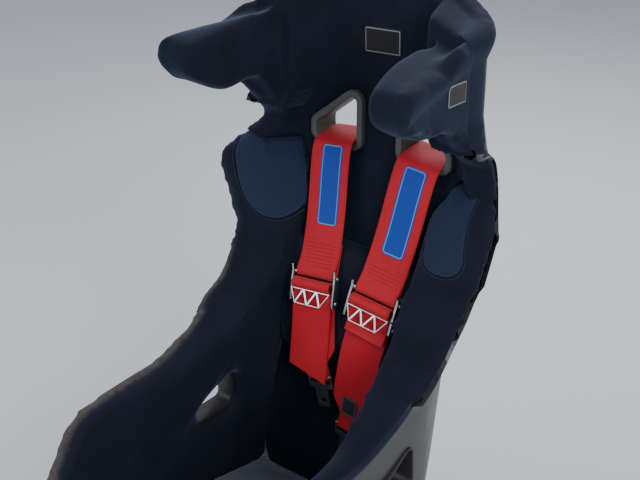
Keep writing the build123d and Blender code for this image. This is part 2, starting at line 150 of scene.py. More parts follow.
class Sheet:
    """A material's node tree around one Principled shader."""

    def __init__(self, name, **fixed):
        self.material = bpy.data.materials.new(name)
        self.material.use_nodes = True
        self.tree = self.material.node_tree
        self.shader = self.tree.nodes["Principled BSDF"]
        for socket, value in fixed.items():
            self.shader.inputs[socket.replace("_", " ")].default_value = value

    def node(self, kind, settings=None, values=None, output=0):
        """Adds a node: its settings first, then numbers or wires into its sockets."""
        node = self.tree.nodes.new("ShaderNode" + kind)
        for name, value in (settings or {}).items():
            setattr(node, name, value)
        for name, value in (values or {}).items():
            if isinstance(value, Wire):
                self.tree.links.new(value.socket, node.inputs[name])
            elif isinstance(value, tuple) and len(value) == 3 and node.inputs[name].type == "RGBA":
                node.inputs[name].default_value = (*value, 1)
            else:
                node.inputs[name].default_value = value
        return Wire(self, node.outputs[output])

    def paint(self, **links):
        """Links wires to the Principled shader's own sockets."""
        for socket, wire in links.items():
            self.tree.links.new(wire.socket, self.shader.inputs[socket.replace("_", " ")])
        return self.material

    def place(self, kind="Object"):
        return self.node("TexCoord", output=kind)

    def axes(self, vector):
        return [self.node("SeparateXYZ", None, {0: vector}, axis) for axis in range(3)]

    def grain(self, where, scale, detail=2.0, rough=0.5):
        return self.node(
            "TexNoise", None, {"Vector": where, "Scale": scale, "Detail": detail, "Roughness": rough}
        )

    def blend(self, amount, low, high):
        return self.node("Mix", {"data_type": "RGBA"}, {0: amount, 6: low, 7: high}, 2)

    def ramp(self, value, low, high):
        """0 below low, 1 above high, smooth between."""
        return self.node(
            "MapRange",
            {"interpolation_type": "SMOOTHSTEP"},
            {"Value": value, "From Min": low, "From Max": high},
        )

    def mark(self, name):
        return self.node("Attribute", {"attribute_name": name}, None, "Fac")

    def relief(self, height, depth):
        return self.node("Bump", None, {"Height": height, "Distance": depth, "Strength": 1.0})


print("shader sheets ready")

# %% [markdown]
# ## Cloth finishes
# Velour is a short pile: nearly black where one looks into it, bluish where light rakes over it.
# That is what the sheen lobe of the Principled shader is for. The crest of one side bolster is
# painted a dusty grey brown, part wear and part painted highlight, and the covers carry a
# painted-on attribute for it. All grain is read from Object coordinates, so nothing depends on a UV map.

# %% Velour and suede
def pile(sheet, dark, bright, worn):
    """Colour, roughness and height of a short pile with fibres, brushed patches, lint and a crest band of
    wear and painted highlight.
    """
    place = sheet.place()
    fibres = sheet.grain(place, 1500, 3, 0.65)
    tufts = sheet.grain(place, 420, 2, 0.6)
    brushed = sheet.grain(place, 16, 3, 0.55)
    patches = sheet.grain(place, 5, 2, 0.5)
    shade = (brushed * 0.55 + patches * 0.45 + (fibres - 0.5) * 0.35 - 0.25) * 1.7
    colour = sheet.blend(shade, dark, bright)
    # Crest band, wear and a painted highlight together: mixed towards the pale grey brown.
    crest_band_mask = sheet.mark("crest_band") * (0.35 + 1.1 * sheet.grain(place, 70, 4, 0.7)) * (0.55 + tufts)
    crest_band_mask = sheet.ramp(crest_band_mask, 0.18, 1.05)
    colour = sheet.blend(crest_band_mask, colour, worn)
    lint = sheet.ramp(sheet.grain(place, 260, 1, 0.4), 0.79, 0.83) * 0.3
    colour = sheet.blend(lint, colour, (0.2, 0.2, 0.2))
    return colour, 0.82 + (fibres - 0.5) * 0.2, fibres * 0.6 + tufts * 0.7 + crest_band_mask * 0.4


# Pale grey brown of the crest band: worn pile with a painted highlight.
crest_band_brown = (0.10, 0.084, 0.072)


def pile_cloth(name, dark, bright, sheen, tint, depth=0.35 * mm, worn=crest_band_brown):
    """A cloth made of the pile alone."""
    sheet = Sheet(
        name, Sheen_Weight=sheen, Sheen_Roughness=0.42, Sheen_Tint=(*tint, 1), Specular_IOR_Level=0.12
    )
    colour, rough, height = pile(sheet, dark, bright, worn)
    return sheet.paint(Base_Color=colour, Roughness=rough, Normal=sheet.relief(height, depth))


navy_dark, navy_bright = (0.0036, 0.005, 0.0098), (0.0095, 0.014, 0.030)
velour = pile_cloth("navy_velour", navy_dark, navy_bright, 0.17, (0.42, 0.56, 0.95))
lumbar_cloth = pile_cloth(
    "lumbar_velour", (0.0042, 0.0055, 0.010), (0.0098, 0.014, 0.028), 0.2, (0.45, 0.55, 0.9)
)
suede = pile_cloth(
    "pale_suede", (0.085, 0.098, 0.14), (0.17, 0.19, 0.25), 0.35, (0.8, 0.86, 1.0), 0.3 * mm,
    (0.22, 0.21, 0.2),
)
print("pile cloths:", velour.name, lumbar_cloth.name, suede.name)

# %% [markdown]
# The shoulder part of each side is a panel of knitted spacer mesh let into the velour, with a
# rounded lower end and a double row of stitches round it. A seam as fine as that is lost on the
# cover's grid of points, so its outline is worked out in the shader: the distance to a turned,
# rounded box in the seat's front view gives mesh inside, velour outside and thread on the line.

# %% Side cloth with its mesh panel
panel_centre = (164 * mm, 655 * mm)
panel_half = (49 * mm, 92 * mm)
panel_round = 44 * mm
panel_lean = {"left": -0.08, "right": 0.30}
panel_shift = {"left": 0.0, "right": 14 * mm}
mesh_pitch = 3.4 * mm
seam_offset = 3.2 * mm
stitch_pitch = 4.2 * mm


def rounded_box(across, along, half, radius):
    """Distance outwards from the outline of a rounded box, from wires centred on it."""
    over_x = across.size() - (half[0] - radius)
    over_y = along.size() - (half[1] - radius)
    outside = (over_x.most(0) ** 2 + over_y.most(0) ** 2) ** 0.5
    return outside + over_x.most(over_y).least(0) - radius


def band(distance, middle, half_width):
    """1 on a line at a distance from an outline, 0 beside it."""
    sheet = distance.sheet
    return 1 - sheet.ramp((distance - middle).size(), half_width * 0.6, half_width * 1.4)


def panelled_cloth(name):
    """Velour with a panel of knitted mesh, a groove on its outline with painted shade in it, and a seam on
    either side.
    """
    tint = (0.42, 0.56, 0.97, 1)
    sheet = Sheet(name, Sheen_Weight=0.19, Sheen_Roughness=0.4, Sheen_Tint=tint, Specular_IOR_Level=0.14)
    colour, rough, height = pile(sheet, navy_dark, navy_bright, crest_band_brown)
    x, _, z = sheet.axes(sheet.place())
    right = x < 0
    lean = right * (panel_lean["right"] - panel_lean["left"]) + panel_lean["left"]
    along = z - panel_centre[1]
    across = x.size() - panel_centre[0] - right * panel_shift["right"] - along * lean
    edge = rounded_box(across, along, panel_half, panel_round)
    inside = 1 - sheet.ramp(edge, -0.4 * mm, 0.4 * mm)

    row = along / (mesh_pitch * 0.87)
    odd = (row * 0.5).fraction() > 0.5
    off_x = (across * 1.15 / mesh_pitch + odd * 0.5).fraction() - 0.5
    off_y = row.fraction() - 0.5
    hole = 1 - sheet.ramp((off_x ** 2 + off_y ** 2) ** 0.5, 0.18, 0.36)
    hole = hole * inside
    knit = sheet.grain(sheet.place(), 900, 3, 0.6)
    mesh_tone = sheet.blend(knit, (0.011, 0.018, 0.042), (0.023, 0.038, 0.088))
    colour = sheet.blend(inside, colour, mesh_tone)
    colour = sheet.blend(hole * 0.85, colour, (0.0012, 0.0016, 0.003))

    groove = band(edge, 0, 1.1 * mm)
    dash = ((across + along) / stitch_pitch).fraction() > 0.28
    thread = (band(edge, seam_offset, 0.45 * mm) + band(edge, -seam_offset, 0.45 * mm)) * dash
    # Painted shade: the groove on the panel's outline is darkened nearly to black.
    colour = sheet.blend(groove * 0.8, colour, (0.001, 0.001, 0.0015))
    colour = sheet.blend(thread * 0.8, colour, (0.03, 0.045, 0.09))
    relief = sheet.relief(height * (1 - inside) + thread * 1.6 - groove * 2.6 - hole * 1.3, 0.4 * mm)
    return sheet.paint(Base_Color=colour, Roughness=rough - inside * 0.12, Normal=relief)


side_cloth = panelled_cloth("side_velour_and_mesh")
print("panel centre", panel_centre, "half size", panel_half)

# %% [markdown]
# ## Hard finishes
# The shell is a satin black glass-fibre laminate, the rims are dull moulded plastic, the brackets are
# painted, and the harness hardware is satin or zinc-plated steel. Each gets a fine grain, and
# a little dirt or scratching that changes only its colour and roughness.

# %% Laminate, plastic, paint and metal
def hard_finish(name, colour, other, rough, metallic, coat, speck, depth):
    """A solid finish with specks, cloudy variation and faint scratches."""
    sheet = Sheet(name, Metallic=metallic, Coat_Weight=coat, Coat_Roughness=0.08)
    place = sheet.place()
    fine = sheet.grain(place, speck, 3, 0.6)
    clouds = sheet.grain(place, 14, 4, 0.6)
    stretched = sheet.node("Mapping", None, {"Vector": place, "Scale": (40, 900, 60)})
    scratches = sheet.ramp(sheet.grain(stretched, 1.0, 2, 0.6), 0.62, 0.75)
    tone = sheet.blend(clouds * 0.6 + (fine - 0.5) * 0.8, colour, other)
    return sheet.paint(
        Base_Color=tone,
        Roughness=rough + (clouds - 0.5) * 0.18 + scratches * 0.12,
        Normal=sheet.relief(fine + clouds * 0.5, depth * mm),
    )


# Colour, second colour, roughness, metallic, coat, grains per metre, relief in millimetres
finish_rows = {
    "black_laminate": ((0.006, 0.006, 0.007), (0.012, 0.012, 0.014), 0.45, 0, 0.15, 260, 0.08),
    "rim_plastic": ((0.05, 0.062, 0.056), (0.085, 0.10, 0.092), 0.55, 0, 0, 900, 0.05),
    "bracket_paint": ((0.010, 0.010, 0.011), (0.022, 0.022, 0.024), 0.42, 0, 0.2, 500, 0.06),
    "zinc_steel": ((0.33, 0.33, 0.32), (0.5, 0.5, 0.49), 0.38, 1, 0, 700, 0.03),
    "lap_opening_edge": ((0.010, 0.010, 0.011), (0.024, 0.024, 0.026), 0.5, 0, 0, 900, 0.05),
    "dull_steel": ((0.16, 0.16, 0.17), (0.30, 0.30, 0.31), 0.42, 1, 0, 500, 0.04),
    "satin_alloy": ((0.60, 0.61, 0.63), (0.78, 0.79, 0.80), 0.3, 1, 0, 800, 0.02),
}
hard = {name: hard_finish(name, *row) for name, row in finish_rows.items()}
print("hard finishes:", list(hard))

# %% [markdown]
# ## From CAD pads to cloth covers
# The CAD pads are exact but sharp-edged foam blocks. Each cover starts as a copy of one or more
# of them, joined and rebuilt as an even grid (voxel remesh), because cloth needs even faces.
# The real covers are pulled over the shell's edge and glued outside, so the copy is pushed out
# over the edge before everything is smoothed and blown up a little by a pressure simulation.

# %% Helpers for grids of points
voxel = 6 * mm
shell_wall = 5 * mm
weld = 0.02 * mm


def numbers(items, field, width, kind=np.float32):
    """One field of a mesh's points, normals or edges, as rows of numbers."""
    flat = np.empty(len(items) * width, kind)
    items.foreach_get(field, flat)
    return flat.reshape(-1, width)


def points_of(piece):
    return numbers(piece.data.vertices, "co", 3).astype(float)


def normals_of(piece):
    return numbers(piece.data.vertex_normals, "vector", 3).astype(float)


def edges_of(piece):
    return numbers(piece.data.edges, "vertices", 2, np.int32)


def set_points(piece, points):
    piece.data.vertices.foreach_set("co", points.astype(np.float32).ravel())
    piece.data.update()


def relax(values, edges, rounds, strength=0.5, keep=0.0):
    """Averages each value with its neighbours', some rounds, and can swell back each time."""
    values = values.copy()
    count = np.bincount(edges.ravel(), minlength=len(values)).astype(float)
    count[count == 0] = 1
    for _ in range(rounds):
        for amount in (strength, -keep) if keep else (strength,):
            total = np.zeros_like(values)
            np.add.at(total, edges[:, 0], values[edges[:, 1]])
            np.add.at(total, edges[:, 1], values[edges[:, 0]])
            mean = total / (count[:, None] if values.ndim == 2 else count)
            values += amount * (mean - values)
    return values


def smooth_step(value, low, high):
    t = np.clip((value - low) / (high - low), 0, 1)
    return t * t * (3 - 2 * t)


def alone(piece):
    """Makes a piece the only selected and active one."""
    bpy.ops.object.select_all(action="DESELECT")
    piece.select_set(True)
    bpy.context.view_layer.objects.active = piece


def applied(piece, kind, **settings):
    """Adds a modifier with these settings and applies it."""
    alone(piece)
    modifier = piece.modifiers.new(kind.lower(), kind)
    for name, value in settings.items():
        setattr(modifier, name, value)
    bpy.ops.object.modifier_apply(modifier=modifier.name)


def dress(piece, material):
    """Gives a piece one material in place of any other."""
    piece.data.materials.clear()
    piece.data.materials.append(material)


def merged(*pieces):
    """The loose triangles of some objects, joined up where their points meet."""
    mesh = bmesh.new()
    for piece in pieces:
        mesh.from_mesh(piece.data)
    bmesh.ops.remove_doubles(mesh, verts=mesh.verts, dist=weld)
    return mesh


def merged_copy(name, *nodes):
    """One new object from copies of CAD nodes."""
    mesh = merged(*(cad[node] for node in nodes))
    data = bpy.data.meshes.new(name)
    mesh.to_mesh(data)
    mesh.free()
    return linked(name, data)


def tree_of(mesh):
    """A tree for rays and nearest points; it uses up the mesh."""
    tree = BVHTree.FromBMesh(mesh)
    mesh.free()
    return tree


print("helpers ready")

# %% [markdown]
# The free edge of the shell is found from its mesh. It is cut square to the sides all along the
# bolsters and shoulders, so its faces there have no sideways tilt, and square to the front round
# the top of the head. Faces beside the strap openings and bolt bosses are left out by their place.

# %% The shell's free edge
hole_margin = 12 * mm
sample_gap = 4 * mm


def on_free_edge(centre, normal):
    along_side = abs(normal.x) < 0.03 and abs(centre.x) > 150 * mm
    over_head = abs(normal.y) < 0.01 and normal.z > 0.3 and centre.z > 850 * mm
    front_lip = normal.y < -0.95 and centre.y < -380 * mm
    return along_side or over_head or front_lip


def edge_samples():
    """Points and normals along the shell's free edge, a few millimetres apart."""
    keep_out = [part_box(node) for node in cad if "rim" in node or "bolts" in node]
    mesh = merged(cad["shell"])
    places, facing = [], []
    for face in mesh.faces:
        centre, normal = face.calc_center_median(), face.normal.copy()
        near_hole = any(
            all(low[i] - hole_margin < centre[i] < high[i] + hole_margin for i in range(3))
            for low, high in keep_out
        )
        if near_hole or not on_free_edge(centre, normal):
            continue
        a, b, c = [v.co for v in face.verts[:3]]
        steps = max(2, int(max((a - b).length, (b - c).length, (c - a).length) / sample_gap))
        for i in range(steps + 1):
            for j in range(steps + 1 - i):
                places.append(a + (b - a) * (i / steps) + (c - a) * (j / steps))
                facing.append(normal)
    mesh.free()
    return places, facing


edge_places, edge_facing = edge_samples()
edge_tree = KDTree(len(edge_places))
for index, place in enumerate(edge_places):
    edge_tree.insert(place, index)
edge_tree.balance()
print("shell edge:", len(edge_places), "samples")

# %% [markdown]
# Two questions come up all the time: how far is a point from the shell's skin, and how far from
# its free edge? The skin is a tree of the shell's faces without that edge, so the nearest skin's
# normal always points straight through the wall. The edge is a tree of the samples made above.

# %% Near the skin and near the edge
skins = merged(cad["shell"])
free_edge = [face for face in skins.faces if on_free_edge(face.calc_center_median(), face.normal)]
bmesh.ops.delete(skins, geom=free_edge, context="FACES_ONLY")
skin_tree = tree_of(skins)


def near_skin(points):
    """Distance to the shell's skin and the way out through it, for each point."""
    found = [skin_tree.find_nearest(point) for point in points]
    gap = np.array([distance for _, _, _, distance in found])
    return gap, np.array([-normal for _, normal, _, _ in found])


def near_edge(points):
    """Distance to the shell's free edge and that edge's own facing, for each point."""
    found = [edge_tree.find(point) for point in points]
    gap = np.array([distance for _, _, distance in found])
    return gap, np.array([edge_facing[index] for _, index, _ in found])


print("skins ready")

# %% [markdown]
# The side pads of the real seat are fat rolls that fill the corner between its back and its sides.
# The CAD blocks are leaner there. So a short table says how far in each roll reaches, and the grid
# of points is pushed towards it: all of the way on the inner face, less and less through the roll,
# and not at all against the shell, which rays find. A second rebuild evens out the stretched grid.

# %% Fat side rolls
# In millimetres: height, half the gap between the rolls at the back pad's face, and the lean
# outwards of that face in degrees
roll_rows = np.array(
    [(240, 150, 20), (420, 116, 8), (490, 108, 9), (525, 104, 18), (560, 98, 34), (595, 94, 50),
     (630, 95, 57), (665, 117, 57), (700, 146, 50)]
)
# In millimetres: station, height of the seat's face, half the gap between the rolls at the waist
waist_rows = np.array([(-460, 233, 178), (-160, 167, 167), (320, 63, 79)])
waist_height = 420 * mm
floor_half = 157 * mm
back_foot, back_foot_height, back_slope = 162 * mm, 420 * mm, 15 / 70
crease = 9 * mm


def gap_half(y, z):
    """Half the gap that the rolls leave at a station and a height."""
    heights = roll_rows[:, 0] * mm
    rear = back_foot + (z - back_foot_height) * back_slope
    lean = np.radians(np.interp(z, heights, roll_rows[:, 2]))
    by_back = np.interp(z, heights, roll_rows[:, 1] * mm) + (rear - y) * np.tan(lean)
    floor_height = np.interp(y, waist_rows[:, 0] * mm, waist_rows[:, 1] * mm)
    waist = np.interp(y, waist_rows[:, 0] * mm, waist_rows[:, 2] * mm)
    up = (z - floor_height) / (waist_height - floor_height)
    by_pan = floor_half + (waist - floor_half) * min(up, 1) + max(z - waist_height, 0) * 5
    return min(by_back, by_pan), rear - y


def fatten(piece, side, nodes):
    """Pushes the inner face of a side pad inwards to its roll's real size."""
    way = sides[side]
    pads = tree_of(merged(*(cad[node] for node in nodes)))
    points = points_of(piece)
    for i, (x, y, z) in enumerate(points):
        wanted, in_front = gap_half(y, z)
        inner = pads.ray_cast(Vector((way * 20 * mm, y, z)), Vector((way, 0, 0)))[0]
        outer = skin_tree.ray_cast(Vector((way * 60 * mm, y, z)), Vector((way, 0, 0)))[0]
        if inner is None or in_front <= 0:
            continue
        inner_x = abs(inner.x)
        outer_x = abs(outer.x) if outer else max(inner_x + 50 * mm, abs(x))
        if outer_x - inner_x < 2 * mm:
            continue
        share = np.clip((outer_x - abs(x)) / (outer_x - inner_x), 0, 1)
        push = min(0, wanted - inner_x) * share * smooth_step(in_front, 0, crease)
        points[i, 0] = x + way * push
    set_points(piece, points)


# %% [markdown]
# The head wings taper more towards the front than their CAD blocks. Both are stacks of upright
# ovals, so a point is carried from its place in one oval to the same place in the other.

# %% Slimmer head wings
# Station, sideways, up, half width, half height: the CAD wing, then the padded wing
block_ovals = np.array(
    [(-75, 160, 868, 20, 14), (-52, 161, 867, 38, 38), (-20, 163, 865, 48, 56), (40, 164, 864, 54, 72),
     (90, 158, 860, 66, 96), (150, 150, 850, 92, 150)]
) * mm
slim_ovals = np.array(
    [(-64, 180, 866, 14, 12), (-47, 180, 864, 28, 31), (-20, 176, 861, 38, 47), (35, 171, 859, 45, 60),
     (85, 168, 858, 50, 67), (150, 165, 858, 60, 78)]
) * mm


def slim_wings(points):
    """Moves the points of the head wings from the block's ovals to the padded wing's."""
    points = points.copy()
    wing = (points[:, 2] > 745 * mm) & (abs(points[:, 0]) > 92 * mm) & (points[:, 1] < 205 * mm)
    x, y, z = abs(points[wing, 0]), points[wing, 1], points[wing, 2]
    block, slim = (
        [np.interp(y, block_ovals[:, 0], column) for column in ovals.T[1:]]
        for ovals in (block_ovals, slim_ovals)
    )
    moved_x = np.maximum(x, slim[0] + (x - block[0]) * slim[2] / block[2])
    moved_z = slim[1] + (z - block[1]) * slim[3] / block[3]
    root = (1 - smooth_step(z, 745 * mm, 815 * mm)) * smooth_step(y, 50 * mm, 120 * mm)
    fade = (1 - smooth_step(y, 130 * mm, 205 * mm)) * smooth_step(x, 92 * mm, 118 * mm) * (1 - root)
    start = y.clip(block_ovals[0, 0])
    points[wing, 0] = np.sign(points[wing, 0]) * (x + (moved_x - x) * fade)
    points[wing, 1] = y + (np.interp(start, block_ovals[:, 0], slim_ovals[:, 0]) - start)
    wall = smooth_step(x, 165 * mm, 185 * mm) * smooth_step(y, 70 * mm, 130 * mm)
    points[wing, 2] = z + (moved_z - z) * fade * (1 - wall)
    return points


print("roll table", roll_rows.shape, "wing table", slim_ovals.shape)

# %% [markdown]
# A cover is made in four moves. The copy is rebuilt as an even grid. Its points that touch the
# shell near the free edge are pushed out through the wall, so the cloth will lie over the edge.
# The whole is relaxed, which rounds the foam, and last it is blown up slightly as cloth, with the
# points against the shell pinned. A point may only travel a few millimetres in that simulation.

# %% Covers
wrap_depth = 24 * mm
wrap_fade = 11 * mm
proud = 5 * mm
lift = 4.5 * mm
wing_bottom = 745 * mm
wing_inside = 130 * mm
wing_wrap_end = 232 * mm
cloth_frames = 20
pressure = 4
roll_rounds = 36
wing_rounds = 22
covers = {}


def pull_over_edge(piece):
    """Pushes the points that touch the shell near its edge out through the wall."""
    points = points_of(piece)
    skin_gap, way_out = near_skin(points)
    edge_gap, _ = near_edge(points)
    wrapped = 1 - smooth_step(edge_gap, wrap_depth, wrap_depth + wrap_fade)
    wing = (points[:, 2] > wing_bottom) & (abs(points[:, 0]) > wing_inside)
    wing_wrapped = (1 - smooth_step(points[:, 1], wing_wrap_end - 30 * mm, wing_wrap_end)) * wing
    wrapped = np.maximum(wrapped, wing_wrapped)
    touching = 1 - smooth_step(skin_gap, 4 * mm, 11 * mm)
    edges = edges_of(piece)
    amount = relax(wrapped * touching, edges, 3)
    way_out = relax(way_out, edges, 4)
    way_out /= np.linalg.norm(way_out, axis=1, keepdims=True) + 1e-6
    set_points(piece, points + way_out * (amount * (shell_wall + proud))[:, None])
    return wrapped


def blow_up(piece, pinned, travel):
    """Cloth simulation with inner pressure and no gravity; movement is capped at travel."""
    start = points_of(piece)
    group = piece.vertex_groups.new(name="pinned")
    for weight in (0.5, 1.0):
        members = np.nonzero((pinned > weight - 0.25) & (pinned <= weight + 0.25))[0]
        group.add([int(i) for i in members], weight, "REPLACE")
    alone(piece)
    cloth = piece.modifiers.new("cloth", "CLOTH")
    feel = cloth.settings
    feel.quality = 3
    feel.mass = 0.25
    feel.tension_stiffness = feel.compression_stiffness = 12
    feel.shear_stiffness = 6
    feel.bending_stiffness = 0.6
    feel.use_pressure = True
    feel.uniform_pressure_force = pressure
    feel.vertex_group_mass = "pinned"
    feel.effector_weights.gravity = 0
    cloth.collision_settings.use_collision = False
    cloth.point_cache.frame_start, cloth.point_cache.frame_end = 1, cloth_frames
    for step in range(1, cloth_frames + 1):
        bpy.context.scene.frame_set(step)
    bpy.ops.object.modifier_apply(modifier=cloth.name)
    bpy.context.scene.frame_set(1)
    moved = points_of(piece) - start
    length = np.linalg.norm(moved, axis=1)
    scale = np.minimum(1, travel / np.maximum(length, 1e-9)) * (1 - pinned)
    set_points(piece, start + moved * scale[:, None])
    piece.vertex_groups.clear()
    return float((length * scale).mean())


def calm(piece, points, rounds, share):
    """Sets points relaxed, as far as each one's share says."""
    relaxed = relax(points, edges_of(piece), rounds)
    set_points(piece, points + (relaxed - points) * share[:, None])


def rebuild(piece, grid):
    alone(piece)
    piece.data.remesh_voxel_size = grid
    bpy.ops.object.voxel_remesh()


def cover(name, nodes, rounds, travel, grid=voxel, side=None):
    """A padded cover grown from CAD pads, and from fattened ones where a side is given."""
    piece = merged_copy(name, *nodes)
    rebuild(piece, grid)
    if side:
        fatten(piece, side, nodes + ["back_pad"])
        rebuild(piece, grid)
        points = points_of(piece)
        calm(piece, points, roll_rounds, smooth_step(near_skin(points)[0], 4 * mm, 20 * mm))
    wrapped = pull_over_edge(piece)
    edges = edges_of(piece)
    set_points(piece, relax(points_of(piece), edges, rounds, 0.6, 0.55))
    points, normals = points_of(piece), normals_of(piece)
    skin_gap, _ = near_skin(points)
    edge_gap, edge_way = near_edge(points)
    outward = np.einsum("ij,ij->i", normals, edge_way)
    rise = (1 - smooth_step(edge_gap, 12 * mm, 35 * mm)) * smooth_step(outward, 0, 0.6)
    set_points(piece, points + normals * (rise * lift)[:, None])
    buried = (skin_gap < 4 * mm) & (wrapped < 0.5)
    pinned = relax(buried.astype(float), edges, 3)
    travelled = 0.0
    if travel:
        travelled = blow_up(piece, np.round(pinned * 2) / 2, travel)
    covers[name] = piece
    print(name, len(points), "points, mean swelling", round(travelled / mm, 2), "mm")


centre_nodes = ["head_pad", "head_wing_pad_left", "head_wing_pad_right", "back_pad"]
side_nodes = {
    side: [f"shoulder_pad_{side}", f"side_bolster_{side}", f"thigh_bolster_{side}"] for side in sides
}
cover("centre_cover", centre_nodes, 24, 2 * mm)
winged = covers["centre_cover"]
skin_gap, _ = near_skin(points_of(winged))
points = slim_wings(points_of(winged))
is_wing = smooth_step(points[:, 2], 770 * mm, 810 * mm)
is_wing *= 1 - smooth_step(points[:, 1], 150 * mm, 210 * mm)
is_wing *= smooth_step(skin_gap, 8 * mm, 22 * mm)
calm(winged, points, wing_rounds, is_wing)
for side in sides:
    cover(f"side_cover_{side}", side_nodes[side], 16, 3.5 * mm, side=side)
cover("lumbar_cover", ["lumbar_cushion"], 12, 2 * mm, 5 * mm)
cover("squab_cover", ["squab_cushion"], 12, 4 * mm)

# %% [markdown]
# Each cover gets one subdivision, which hides its grid, and its cloth. The crest band, worn and
# painted lighter as a highlight, is where the cover wraps the shell's edge below the shoulders, on
# the right side only, so it is worked out from the distance to that edge and kept on the points for
# the shader.

# %% Crest band of wear and painted highlight, and smooth finish of the covers
crest_band_strength = 0.8


def mark(piece, name, values):
    """Stores one number a point for the shader to read."""
    layer = piece.data.attributes.new(name, "FLOAT", "POINT")
    layer.data.foreach_set("value", np.clip(values, 0, 1).astype(np.float32))


def finish_cover(name, material, nodes):
    piece = covers[name]
    applied(piece, "SUBSURF", levels=1, render_levels=1)
    points, normals = points_of(piece), normals_of(piece)
    edge_gap, edge_way = near_edge(points)
    outward = np.einsum("ij,ij->i", normals, edge_way)
    # The crest band, wear with a painted highlight: right side, below the shoulders, on the crest.
    crest_band_side = (1 - smooth_step(points[:, 2], 460 * mm, 560 * mm)) * (points[:, 0] < 0)
    crest = (1 - smooth_step(edge_gap, 2 * mm, 26 * mm)) * smooth_step(outward, 0.2, 0.9)
    mark(piece, "crest_band", crest * crest_band_side * crest_band_strength)
    bpy.ops.object.shade_smooth()
    dress(piece, material)
    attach(piece, "seat")
    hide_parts(*nodes)


finish_cover("centre_cover", velour, centre_nodes)
for side in sides:
    finish_cover(f"side_cover_{side}", side_cloth, side_nodes[side])
finish_cover("lumbar_cover", lumbar_cloth, ["lumbar_cushion"])
finish_cover("squab_cover", suede, ["squab_cushion"])
print("covers:", {name: len(piece.data.polygons) for name, piece in covers.items()})

# %% [markdown]
# The shell keeps its CAD shape wherever it shows. Its free edge is drawn back under the cloth, and
# under the wings it follows the slimmer pads and stands in a little, so it can't come through.

# %% The shell under the covers
edge_back = 15 * mm
edge_reach = 0.8 * mm
wing_inset = 6 * mm

shell_skin = merged_copy("shell_skin", "shell")
points = points_of(shell_skin)
edge_gap, edge_way = near_edge(points)
points -= edge_way * (edge_back * (edge_gap < edge_reach))[:, None]
wing = (points[:, 2] > wing_bottom + 20 * mm) & (abs(points[:, 0]) > wing_inside)
inset = wing * (1 - smooth_step(points[:, 1], 190 * mm, 230 * mm)) * wing_inset
points[:, 0] -= np.sign(points[:, 0]) * inset
set_points(shell_skin, slim_wings(points))
alone(shell_skin)
bpy.ops.object.shade_smooth_by_angle(angle=math.radians(32))
dress(shell_skin, hard["black_laminate"])
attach(shell_skin, "seat")
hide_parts("shell")
print("shell skin:", len(shell_skin.data.polygons), "faces")

# %% [markdown]
# ## Webbing
# Harness webbing is a flat woven strip 76 mm wide with a rounded selvedge down each edge. A cloth
# simulation would lose anything so thin, so a strip is built station by station along a smoothed
# line: a row of points across it, front and back, with the UV map in metres along and across. The
# weave, the selvedge and the rows of stitches are then drawn by the shader on that map.

# %% Webbing, label and patch cloth
rib_pitch = 2.7 * mm
weft_pitch = 2.1 * mm
sewn_row_pitch = 6.2 * mm
twill_pitch = 1.1 * mm


def webbing_cloth(name, base, deep):
    """Red webbing: ribs along it, slanting weft across, a dark selvedge and rows of stitches."""
    tint = (1.0, 0.45, 0.4, 1)
    sheet = Sheet(name, Sheen_Weight=0.22, Sheen_Roughness=0.45, Sheen_Tint=tint, Specular_IOR_Level=0.3)
    along, across, _ = sheet.axes(sheet.place("UV"))
    rib = (across / rib_pitch).fraction() - 0.5
    weave = ((along / weft_pitch + rib.size() * 2.2).fraction() - 0.5).size() * 2
    groove = 1 - sheet.ramp(rib.size(), 0.30, 0.49)
    selvedge = sheet.ramp(across.size(), 33.5 * mm, 35 * mm)
    stitch_row = (along / sewn_row_pitch).fraction() > 0.74
    inset = 1 - sheet.ramp(across.size(), 29 * mm, 30 * mm)
    stitch_dash = ((across / stitch_pitch).fraction() > 0.3) * stitch_row * sheet.mark("sewn") * inset
    dirt = sheet.ramp(sheet.grain(sheet.place(), 22, 4, 0.65), 0.45, 0.85)
    colour = sheet.blend(weave * 0.45 + groove * 0.4, deep, base)
    colour = sheet.blend(dirt * 0.3, colour, (0.24, 0.02, 0.02))
    colour = sheet.blend(selvedge * 0.35, colour, (0.32, 0.008, 0.014))
    colour = sheet.blend(stitch_dash * 0.6, colour, (0.16, 0.004, 0.008))
    height = weave * 0.5 + groove * 0.7 - stitch_dash * 0.8 + selvedge * 0.3
    relief = sheet.relief(height, 0.3 * mm)
    return sheet.paint(Base_Color=colour, Roughness=0.62 + dirt * 0.15, Normal=relief)


def bordered_cloth(name, size, inner, border, margin, radius):
    """Cloth with a lighter border line, on a UV map centred on the piece."""
    sheet = Sheet(name, Sheen_Weight=0.15, Sheen_Roughness=0.5, Specular_IOR_Level=0.25)
    along, across, _ = sheet.axes(sheet.place("UV"))
    edge = rounded_box(along, across, (size[0] / 2, size[1] / 2), radius)
    line = band(edge, -margin, 0.9 * mm)
    thread = sheet.grain(sheet.place(), 2600, 2, 0.5)
    twill, back_twill = ((way / twill_pitch).fraction() for way in (along + across, along - across))
    worn = sheet.ramp(sheet.grain(sheet.place(), 45, 4, 0.7), 0.5, 0.9)
    colour = sheet.blend(worn * 0.3, inner, tuple(c * 0.5 + 0.04 for c in inner))
    colour = sheet.blend(line * (0.5 + 0.5 * thread), colour, border)
    height = (twill * 0.6 + back_twill * 0.4) * 0.5 + thread * 0.4 + line * 1.2
    relief = sheet.relief(height, 0.25 * mm)
    return sheet.paint(Base_Color=colour, Roughness=0.7 + worn * 0.1, Normal=relief)


red_webbing = webbing_cloth("red_webbing", (0.62, 0.008, 0.024), (0.34, 0.004, 0.012))
print("webbing cloth:", red_webbing.name)

